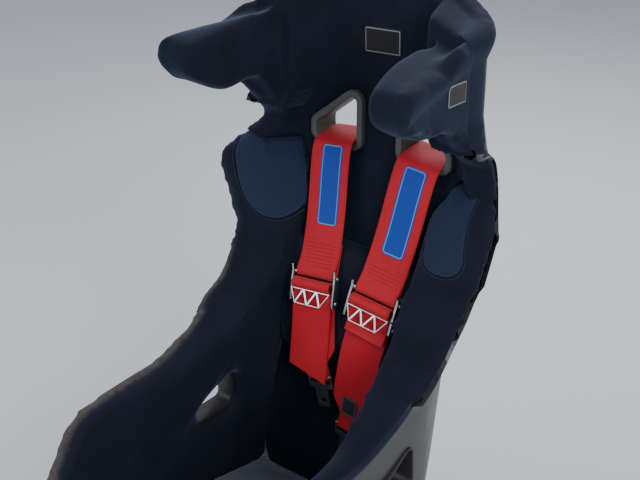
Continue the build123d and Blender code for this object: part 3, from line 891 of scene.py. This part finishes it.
# %% A woven strip along a line
def smooth_line(rows, rounds=3):
    """Cuts the corners of a line of rows; its ends stay."""
    rows = np.array(rows, float)
    for _ in range(rounds):
        first, second = rows[:-1], rows[1:]
        cut = np.stack([first * 0.75 + second * 0.25, first * 0.25 + second * 0.75], 1)
        rows = np.vstack([rows[:1], cut.reshape(-1, rows.shape[1]), rows[-1:]])
    return rows


def even_rows(rows, step):
    """The same line with stations at even distances, and those distances."""
    gaps = np.linalg.norm(np.diff(rows[:, :3], axis=0), axis=1)
    along = np.concatenate([[0], np.cumsum(gaps)])
    places = np.linspace(0, along[-1], max(3, round(along[-1] / step) + 1))
    return np.stack([np.interp(places, along, column) for column in rows.T], 1), places


def unit(vectors):
    return vectors / np.linalg.norm(vectors, axis=-1, keepdims=True)


def cloth_piece(name, verts, faces, uvs, material):
    """A piece from points and faces with a UV map, its faces turned outwards."""
    data = bpy.data.meshes.new(name)
    data.from_pydata(verts, [], faces)
    layer = data.uv_layers.new(name="UVMap")
    for loop in data.loops:
        layer.data[loop.index].uv = uvs[loop.vertex_index]
    mesh = bmesh.new()
    mesh.from_mesh(data)
    bmesh.ops.recalc_face_normals(mesh, faces=mesh.faces)
    mesh.to_mesh(data)
    mesh.free()
    piece = linked(name, data)
    dress(piece, material)
    alone(piece)
    bpy.ops.object.shade_smooth_by_angle(angle=math.radians(50))
    return piece


half_columns = np.array([0.3, 0.6, 0.78, 0.9, 0.95, 0.985, 1])
selvedge_columns = np.concatenate([-half_columns[::-1], [0], half_columns])
slant_length = 30 * mm


def strip(name, rows, half_width, thick, material, step=3 * mm, slant=0, wave=0, centred=False):
    """A strip along rows of (place, direction across), both in metres; returns it and its frame."""
    rows, along = even_rows(smooth_line(rows), step)
    path = rows[:, :3]
    tangent = unit(np.gradient(path, axis=0))
    across = unit(rows[:, 3:6] - tangent * np.einsum("ij,ij->i", rows[:, 3:6], tangent)[:, None])
    normal = np.cross(tangent, across)
    half = half_width(along) if callable(half_width) else np.full(len(along), half_width)
    lie = wave * (np.sin(along / 0.043 + 0.7) + 0.6 * np.sin(along / 0.019))
    verts, uvs = [], []
    for i in range(len(path)):
        fade = smooth_step(along[i], along[-1] - slant_length, along[-1])
        for face in (1, -1):
            for u in selvedge_columns:
                lip = 0.45 if abs(u) > 0.99 else 1.12 if 0.9 <= abs(u) < 0.99 else 1.0
                out = face * thick / 2 * lip + lie[i] * (1 - 0.4 * abs(u))
                shifted = slant * u * fade
                verts.append(path[i] + across[i] * half[i] * u + normal[i] * out + tangent[i] * shifted)
                uvs.append((along[i] + shifted - (along[-1] / 2 if centred else 0), half[i] * u))
    count = len(selvedge_columns)
    faces = []
    for i in range(len(path) - 1):
        here, there = 2 * count * i, 2 * count * (i + 1)
        for j in range(count - 1):
            faces.append((here + j, here + j + 1, there + j + 1, there + j))
            back, back_there = here + count + j, there + count + j
            faces.append((back, back_there, back_there + 1, back + 1))
        for j in (0, count - 1):
            faces.append((here + j, there + j, there + count + j, here + count + j))
    for end in (0, 2 * count * (len(path) - 1)):
        for j in range(count - 1):
            faces.append((end + j, end + j + 1, end + count + j + 1, end + count + j))
    piece = cloth_piece(name, verts, faces, uvs, material)
    return piece, {"path": path, "across": across, "normal": normal, "along": along}


print("strip builder ready")

# %% [markdown]
# Each shoulder strap leans inwards on its way down, so its line is drawn in side view and its
# sideways place follows from its height. It rises from the anchor plate behind the shell, passes
# over the slot's lower lip, lies on the back pad and wraps the adjuster's upper bar. Both of its
# ends come back behind it for a few centimetres, where the real strap is sewn.

# %% Shoulder straps
slot_height, low_height = 708 * mm, 468 * mm
slot_place = {"right": -83 * mm, "left": 83 * mm}
low_place = {"right": -54 * mm, "left": 60 * mm}
strap_half = 38 * mm
loop_wide = 20 * mm
strap_thick = 1.9 * mm
# Station and height of the webbing's line in side view, in millimetres
shoulder_line = [
    (284.4, 412), (284.6, 372), (287.2, 361), (286.0, 353.4), (282, 351.8), (277.8, 353.6), (277.2, 361),
    (281, 372), (282, 420), (282, 693), (264, 700), (211, 697.5), (196, 678), (168, 570), (143, 514),
    (128.5, 498), (124.6, 489), (128, 483.8), (133.4, 484.6), (137.4, 493), (146.6, 512), (157, 537),
]
sewn_zone = {"right": (502, 539), "left": (508, 532)}
harness = {}


def strap_x(side, z):
    share = (slot_height - z) / (slot_height - low_height)
    return slot_place[side] + share * (low_place[side] - slot_place[side])


def lean_across(side):
    drift = low_place[side] - slot_place[side]
    return unit(np.array([slot_height - low_height, 0, drift]))


def anchor_end(along):
    """Half width of the shoulder webbing: narrow in the anchor plate's loop."""
    return loop_wide + (strap_half - loop_wide) * smooth_step(along, 90 * mm, 125 * mm)


for side in sides:
    name = f"shoulder_webbing_{side}"
    rows = [(strap_x(side, z * mm), y * mm, z * mm, *lean_across(side)) for y, z in shoulder_line]
    piece, lay = strip(name, rows, anchor_end, strap_thick, red_webbing, wave=0.5 * mm)
    y, z = points_of(piece)[:, 1] / mm, points_of(piece)[:, 2] / mm
    low, high = sewn_zone[side]
    in_front = (z > low) & (z < high) & (y < 170)
    mark(piece, "sewn", in_front | ((z > 368) & (z < 410) & (y > 250)))
    harness[name] = lay
    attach(piece, "seat")
    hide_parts(f"shoulder_strap_{side}")
    print(name, "length", round(lay["along"][-1], 3), "m")

# %% [markdown]
# The lower webbing is one strip too. It is sewn round the tongue's bar, comes up behind the
# adjuster, turns over it in a thick roll and hangs down in front as the free end that is pulled
# to tighten the harness. The roll is placed in the adjuster's own tilted frame.

# %% Lower webbing
adjuster_middle = (124.5 * mm, 470 * mm)
adjuster_tilt = math.radians(17)
bar_out = 20.5 * mm
hang_low = {"right": -27 * mm, "left": 34 * mm}
free_low = {"right": -46 * mm, "left": 52 * mm}
end_place = {"right": (98 * mm, 334 * mm), "left": (100 * mm, 254 * mm)}
knee = {"right": (101 * mm, 362 * mm), "left": (102 * mm, 350 * mm)}
loop_half = 19.5 * mm
bar_drop = 8.5 * mm
# The turn round the tongue's bar: rearwards and up from the bar
loop_line = [(2.6, 36), (2.8, 11), (5.2, 2), (3.4, -4), (-0.4, -5), (-4, -4), (-5.2, 2), (-0.6, 11)]
# The roll over the adjuster, up and out in the adjuster's own frame
roll_line = [
    (-22, -5.2), (-8, -5), (4, -2.6), (11.6, 1.8), (12.4, 11), (5, 17), (-2.8, 13.4), (-6, 7.6), (-23, 5.8),
]
# The free end in front, station and height, and how far its cut end slants
tail_line = {
    "right": [(108.2, 425), (103.2, 392), (97.2, 362), (93.2, 338), (91, 326)],
    "left": [(111.4, 440), (107.2, 432), (102.6, 425)],
}
tail_slant = {"right": 9 * mm, "left": 3 * mm}
adjuster_frame = {}
for side in sides:
    across = lean_across(side)
    flat_up = np.array([-across[2], 0, across[0]])
    up = flat_up * math.cos(adjuster_tilt) + np.array([0, 1, 0]) * math.sin(adjuster_tilt)
    out = np.cross(across, up)
    origin = np.array([strap_x(side, adjuster_middle[1]), *adjuster_middle])
    adjuster_frame[side] = (origin, across, up, out)


def tongue_end(along):
    """Half width of the lower webbing: narrow in the tongue's loop."""
    return loop_half + (strap_half - loop_half) * smooth_step(along, 72 * mm, 108 * mm)


for side in sides:
    origin, across, up, out = adjuster_frame[side]
    bar = origin - up * bar_out
    end_y, end_z = end_place[side]
    hang = unit(np.array([bar[2] - end_z, 0, hang_low[side] - bar[0]]))
    fall = unit(np.array([bar[2] - end_z, 0, free_low[side] - bar[0]]))

    def hanging(y, z, low=hang_low, direction=hang):
        share = (bar[2] - z) / (bar[2] - end_z)
        return (bar[0] + share * (low[side] - bar[0]), y, z, *direction)

    bar_z = end_z - bar_drop
    rows = [hanging(end_y + y * mm, bar_z + z * mm) for y, z in loop_line]
    rows += [hanging(end_y, end_z + 14 * mm), hanging(*knee[side]), hanging(107 * mm, 392 * mm)]
    rows += [(*(origin + up * y * mm + out * z * mm), *across) for y, z in roll_line]
    rows += [hanging(y * mm, z * mm, free_low, fall) for y, z in tail_line[side]]
    name = f"lower_webbing_{side}"
    piece, lay = strip(
        name, rows, tongue_end, strap_thick, red_webbing, slant=tail_slant[side], wave=0.4 * mm
    )
    z = points_of(piece)[:, 2]
    near_loop = np.repeat(lay["along"], 2 * len(selvedge_columns)) < 120 * mm
    mark(piece, "sewn", near_loop & (z > bar_z + 9 * mm) & (z < bar_z + 34 * mm))
    harness[name] = lay
    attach(piece, "seat")
    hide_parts(f"lower_strap_{side}")
    print(name, "length", round(lay["along"][-1], 3), "m")

# %% [markdown]
# ## Labels and patches
# Bare cloth labels are sewn on the front of both straps, blue with a lighter border, and a small
# black one low on the left strap. A label repeats the strap's own stations a little further out,
# so it bends with the strap. Its corners are rounded by its own half width at each station.

# %% Labels on the straps
label_half = 20 * mm
label_corner = 7 * mm
label_gap = 1.6 * mm
label_thick = 1.1 * mm
label_hem = 6 * mm
border_inset = 2.6 * mm
label_blue, label_border = (0.004, 0.05, 0.36), (0.16, 0.38, 0.75)
# Lower and upper end, and how far the label sits to one side
label_span = {"right": (562 * mm, 688 * mm, 4 * mm), "left": (548 * mm, 686 * mm, 2 * mm)}


def rounded_ends(along):
    """Half width of a strip with rounded corners."""
    inside = np.minimum(np.minimum(along, along[-1] - along), label_corner)
    return label_half - label_corner + np.sqrt(label_corner ** 2 - (label_corner - inside) ** 2)


def label(name, lay, keep, shift, half_width, material):
    """A thin strip on the front of another strip's kept stations."""
    path, across, normal = (lay[part][keep] for part in ("path", "across", "normal"))
    front = -np.sign(normal[:, 1]).mean()
    rows = np.hstack([path + normal * front * label_gap + across * shift, across])
    piece, _ = strip(name, rows, half_width, label_thick, material, step=1.5 * mm, centred=True)
    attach(piece, "seat")


for side in sides:
    lay = harness[f"shoulder_webbing_{side}"]
    low, high, shift = label_span[side]
    _, y, z = lay["path"].T
    keep = (z > low) & (z < high) & (y < 205 * mm)
    size = (high - low + label_hem, 2 * label_half)
    cloth = bordered_cloth(f"blue_label_{side}", size, label_blue, label_border, border_inset, label_corner)
    label(f"strap_label_{side}", lay, keep, shift, rounded_ends, cloth)

small_label = bordered_cloth(
    "small_label_cloth", (34 * mm, 30 * mm), (0.012, 0.012, 0.016), (0.10, 0.10, 0.12), 2 * mm, 2 * mm
)
lay = harness["lower_webbing_left"]
height = lay["path"][:, 2] / mm
keep = (height > 270) & (height < 304) & (lay["along"] > 50 * mm)
label("strap_label_small", lay, keep, -3 * mm, 15 * mm, small_label)

# %% [markdown]
# Small black patches are sewn on the head rest and on the outside of both wings. A patch is a
# grid of points, each dropped onto the cover by a ray, so that it follows the padding under it.
# The grid is laid twice, for the back and the face, and a ring of faces closes its hem.

# %% Patches on the head rest and wings
head_patch_size = (67 * mm, 41 * mm)
wing_patch_size = (56 * mm, 33 * mm)
patch_columns, patch_rows = 23, 13
patch_layers = (0.2 * mm, 1.5 * mm)
ray_start = 80 * mm


def patch_ring():
    """The numbers of the grid's outer points, in order round it."""
    last = patch_columns - 1
    ring = list(range(patch_columns)) + [j * patch_columns + last for j in range(1, patch_rows)]
    ring += [(patch_rows - 1) * patch_columns + i for i in range(last - 1, -1, -1)]
    return ring + [j * patch_columns for j in range(patch_rows - 2, 0, -1)]


def patch(name, middle, right, up, cast, size, material):
    """A thin cloth patch laid on the head cover by rays, with clipped corners."""
    tree = tree_of(merged(covers["centre_cover"]))
    right, up, cast = (Vector(v).normalized() for v in (right, up, cast))
    verts, uvs, faces = [], [], []
    for layer in patch_layers:
        for j in range(patch_rows):
            v = (j / (patch_rows - 1) - 0.5) * size[1]
            corner = max(0, abs(v) / size[1] * 2 - 0.8) * 8 * mm
            for i in range(patch_columns):
                u = (i / (patch_columns - 1) - 0.5) * size[0]
                u = max(-size[0] / 2 + corner, min(size[0] / 2 - corner, u))
                start = Vector(middle) + right * u + up * v - cast * ray_start
                place = tree.ray_cast(start, cast)[0]
                rim = min(i, patch_columns - 1 - i, j, patch_rows - 1 - j)
                verts.append(place - cast * layer * (0.35 if rim == 0 else 1))
                uvs.append((u, v))
    count = patch_rows * patch_columns
    for base, turn in ((0, -1), (count, 1)):
        for j in range(patch_rows - 1):
            for i in range(patch_columns - 1):
                a = base + j * patch_columns + i
                faces.append((a, a + 1, a + patch_columns + 1, a + patch_columns)[::turn])
    ring = patch_ring()
    for a, b in zip(ring, ring[1:] + ring[:1]):
        faces.append((a, b, b + count, a + count))
    piece = cloth_piece(name, verts, faces, uvs, material)
    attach(piece, "seat")


black_cloth, grey_thread = (0.006, 0.006, 0.007), (0.24, 0.25, 0.27)
head_cloth, wing_cloth = (
    bordered_cloth(name, size, black_cloth, grey_thread, 2.4 * mm, 4 * mm)
    for name, size in (("head_patch_cloth", head_patch_size), ("wing_patch_cloth", wing_patch_size))
)
patch("head_patch", (0, 0.2, 0.866), (1, 0, 0.05), (0, 0, 1), (0, 1, 0), head_patch_size, head_cloth)
for side, way in sides.items():
    along_wing, up, inwards = (0, way, -0.1 * way), (0, 0, 1), (-way, 0, 0)
    middle = (way * 0.215, 0.112, 0.853)
    patch(f"wing_patch_{side}", middle, along_wing, up, inwards, wing_patch_size, wing_cloth)
print("patches laid")

# %% [markdown]
# ## Adjusters
# The adjuster is a pressed alloy frame: two cheeks whose tops hook forwards, two bars, and a
# handle of thin struts. All of it is modelled once, lying flat at the origin with X across, Y up
# and Z outwards, then joined and copied into each strap's tilted frame.

# %% Adjuster parts
cheek_thick = 3.5 * mm
cheek_at = 42.7 * mm
handle_wall = 3.2 * mm
# Each step of the cheek's hook: forwards in millimetres, and its turn in degrees
hook_steps = ((0.5, 18), (2.2, 24), (4.2, 26))


def started(primitive, **where):
    """A new primitive, alone in the selection, with its place, turn and size in its mesh."""
    bpy.ops.object.select_all(action="DESELECT")
    primitive(**where)
    bpy.ops.object.transform_apply(location=True, rotation=True, scale=True)
    return bpy.context.object


def edit(piece, select_mode="FACE"):
    alone(piece)
    bpy.ops.object.mode_set(mode="EDIT")
    bpy.ops.mesh.select_mode(type=select_mode)
    bpy.ops.mesh.select_all(action="DESELECT")


def pick(piece, test, kind="faces"):
    """Selects faces or points in edit mode by a test on their middle."""
    mesh = bmesh.from_edit_mesh(piece.data)
    for item in (*mesh.faces, *mesh.verts):
        item.select_set(False)
    items = mesh.faces if kind == "faces" else mesh.verts
    for item in items:
        place = item.calc_center_median() if kind == "faces" else item.co
        if test(place, item.normal):
            item.select_set(True)
    mesh.select_flush_mode()
    bmesh.update_edit_mesh(piece.data)


def thicken(piece, thickness):
    """Gives a flat piece its wall, half to each side."""
    bpy.ops.object.mode_set(mode="OBJECT")
    applied(piece, "SOLIDIFY", thickness=thickness, offset=0)


def finish_edges(piece, width, segments=2, angle=35):
    """Rounds the sharp edges and shades the rest smooth."""
    limit = math.radians(angle)
    applied(piece, "BEVEL", width=width, segments=segments, limit_method="ANGLE", angle_limit=limit)
    bpy.ops.object.shade_smooth_by_angle(angle=math.radians(40))


def hooked_cheek(way):
    """A flat bar whose top end is drawn on forwards in three turned steps."""
    middle = Vector((way * cheek_at, -9 * mm, 2.5 * mm))
    size = (cheek_thick, 36 * mm, 14 * mm)
    piece = started(bpy.ops.mesh.primitive_cube_add, size=1, location=middle, scale=size)
    edit(piece)
    pick(piece, lambda place, normal: normal.y > 0.9)
    top = middle + Vector((0, size[1] / 2, 0))
    for rise, turn in hook_steps:
        move = Vector((0, 6.5 * mm, rise * mm))
        bpy.ops.mesh.extrude_region_move(TRANSFORM_OT_translate={"value": move})
        top = top + move
        bpy.ops.transform.rotate(value=math.radians(turn), orient_axis="X", center_override=top)
        bpy.ops.transform.resize(value=(1, 0.86, 0.86), center_override=top)
    bpy.ops.object.mode_set(mode="OBJECT")
    finish_edges(piece, 0.9 * mm)
    return piece


def shouldered_bar(height):
    """A round bar with riveted ends outside the cheeks."""
    piece = started(
        bpy.ops.mesh.primitive_cylinder_add, vertices=24, radius=4 * mm, depth=2 * cheek_at,
        location=(0, height, 0), rotation=(0, math.pi / 2, 0),
    )
    edit(piece)
    for way in (-1, 1):
        pick(piece, lambda place, normal: way * normal.x > 0.9)
        bpy.ops.mesh.inset(thickness=1.1 * mm)
        bpy.ops.mesh.extrude_region_move(TRANSFORM_OT_translate={"value": (way * 3.2 * mm, 0, 0)})
    bpy.ops.object.mode_set(mode="OBJECT")
    finish_edges(piece, 0.5 * mm)
    return piece


def strut_handle():
    """A trapezoid of thin struts: a split grid, each triangle inset and opened."""
    piece = started(bpy.ops.mesh.primitive_grid_add, x_subdivisions=3, y_subdivisions=1, size=1)
    piece.scale = (80 * mm, 25 * mm, 1)
    bpy.ops.object.transform_apply(location=True, rotation=True, scale=True)
    edit(piece, "VERT")
    bpy.ops.mesh.select_all(action="SELECT")
    bpy.ops.mesh.quads_convert_to_tris(quad_method="FIXED")
    low = sorted(round(v.co.x, 5) for v in bmesh.from_edit_mesh(piece.data).verts if v.co.y < 0)
    for old, new in zip(low, (-26 * mm, 0, 26 * mm, 26 * mm)):
        pick(piece, lambda place, normal: abs(place.x - old) < 0.1 * mm and place.y < 0, "verts")
        bpy.ops.transform.translate(value=(new - old, 0, 0))
    bpy.ops.mesh.select_all(action="SELECT")
    bpy.ops.mesh.remove_doubles(threshold=0.5 * mm)
    bpy.ops.mesh.select_mode(type="FACE")
    bpy.ops.mesh.select_all(action="SELECT")
    bpy.ops.mesh.inset(thickness=handle_wall / 2, use_individual=True)
    bpy.ops.mesh.delete(type="FACE")
    bpy.ops.mesh.select_all(action="SELECT")
    bpy.ops.mesh.normals_make_consistent(inside=False)
    thicken(piece, 3 * mm)
    finish_edges(piece, 0.6 * mm)
    lean = Matrix.Rotation(math.radians(-15), 4, "X")
    piece.data.transform(Matrix.Translation((0, -17 * mm, 15.5 * mm)) @ lean)
    return piece


def frame_matrix(origin, across, up, out):
    matrix = Matrix.Identity(4)
    for column, vector in enumerate((across, up, out, origin)):
        for row in range(3):
            matrix[row][column] = vector[row]
    return matrix


adjuster_parts = [hooked_cheek(way) for way in (-1, 1)]
adjuster_parts += [shouldered_bar(height) for height in (bar_out, -bar_out)]
adjuster_parts.append(strut_handle())
bpy.ops.object.select_all(action="DESELECT")
for part in adjuster_parts:
    part.select_set(True)
bpy.context.view_layer.objects.active = adjuster_parts[0]
bpy.ops.object.join()
adjuster_model = bpy.context.object
dress(adjuster_model, hard["satin_alloy"])
for side in sides:
    data = adjuster_model.data.copy()
    data.transform(frame_matrix(*adjuster_frame[side]))
    piece = linked(f"adjuster_body_{side}", data)
    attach(piece, "seat")
    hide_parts(f"adjuster_{side}")
bpy.data.objects.remove(adjuster_model)
print("adjusters placed:", len(data.polygons), "faces each")

# %% [markdown]
# ## Rims, brackets and hardware
# These keep their exact CAD shape. A copy with its triangles merged gets a fine rounded edge, so
# that moulded and folded parts catch the light along their corners as the real ones do.

# %% Copies with rounded edges
def rounded_copy(node, width, finish, body="seat", segments=2):
    """A copy of a CAD node with its triangles merged and its edges rounded."""
    piece = merged_copy(f"{node}_part", node)
    mesh = bmesh.new()
    mesh.from_mesh(piece.data)
    bmesh.ops.dissolve_limit(mesh, angle_limit=math.radians(1), verts=mesh.verts, edges=mesh.edges)
    mesh.to_mesh(piece.data)
    mesh.free()
    dress(piece, hard[finish])
    finish_edges(piece, width, segments, 40)
    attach(piece, body)
    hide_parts(node)
    return piece


for side in sides:
    rounded_copy(f"harness_slot_rim_{side}", 1.8 * mm, "rim_plastic", segments=3)
    rounded_copy(f"lap_opening_rim_{side}", 1.2 * mm, "lap_opening_edge")
    rounded_copy(f"bracket_{side}", 0.6 * mm, "bracket_paint")
    rounded_copy(f"shell_bolts_{side}", 0.5 * mm, "zinc_steel")
    rounded_copy(f"anchor_plate_{side}", 0.5 * mm, "zinc_steel")
    rounded_copy(f"tongue_{side}", 0.5 * mm, "dull_steel", f"tongue_{side}")
rounded_copy("crotch_opening_rim", 1.4 * mm, "rim_plastic")
print("rounded copies made")

# %% [markdown]
# The side bolts clamp the shell through flat washers, which the CAD model leaves out. A washer is
# a disc, inset and opened, then given its thickness, and it lies against the bolt's head.

# %% Washers under the bolt heads
bolt_head = (6.5 * mm, 7.5 * mm)
washer_station = 214.9 * mm


def washer(name, middle, way):
    """A flat ring: an opened disc drawn out to its thickness."""
    piece = started(
        bpy.ops.mesh.primitive_circle_add, vertices=32, radius=11.5 * mm, fill_type="NGON",
        location=middle, rotation=(0, way * math.pi / 2, 0),
    )
    piece.name = name
    edit(piece)
    bpy.ops.mesh.select_all(action="SELECT")
    bpy.ops.mesh.inset(thickness=7.2 * mm)
    bpy.ops.mesh.delete(type="FACE")
    thicken(piece, 1.8 * mm)
    finish_edges(piece, 0.4 * mm)
    dress(piece, hard["zinc_steel"])
    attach(piece, "seat")


for side, way in sides.items():
    low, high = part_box(f"shell_bolts_{side}")
    heads = [(low[1] + bolt_head[0], high[2] - bolt_head[1]), (high[1] - bolt_head[0], low[2] + bolt_head[1])]
    for number, (y, z) in enumerate(heads):
        washer(f"washer_{side}_{number}", (way * washer_station, y, z), way)
print("washers placed")
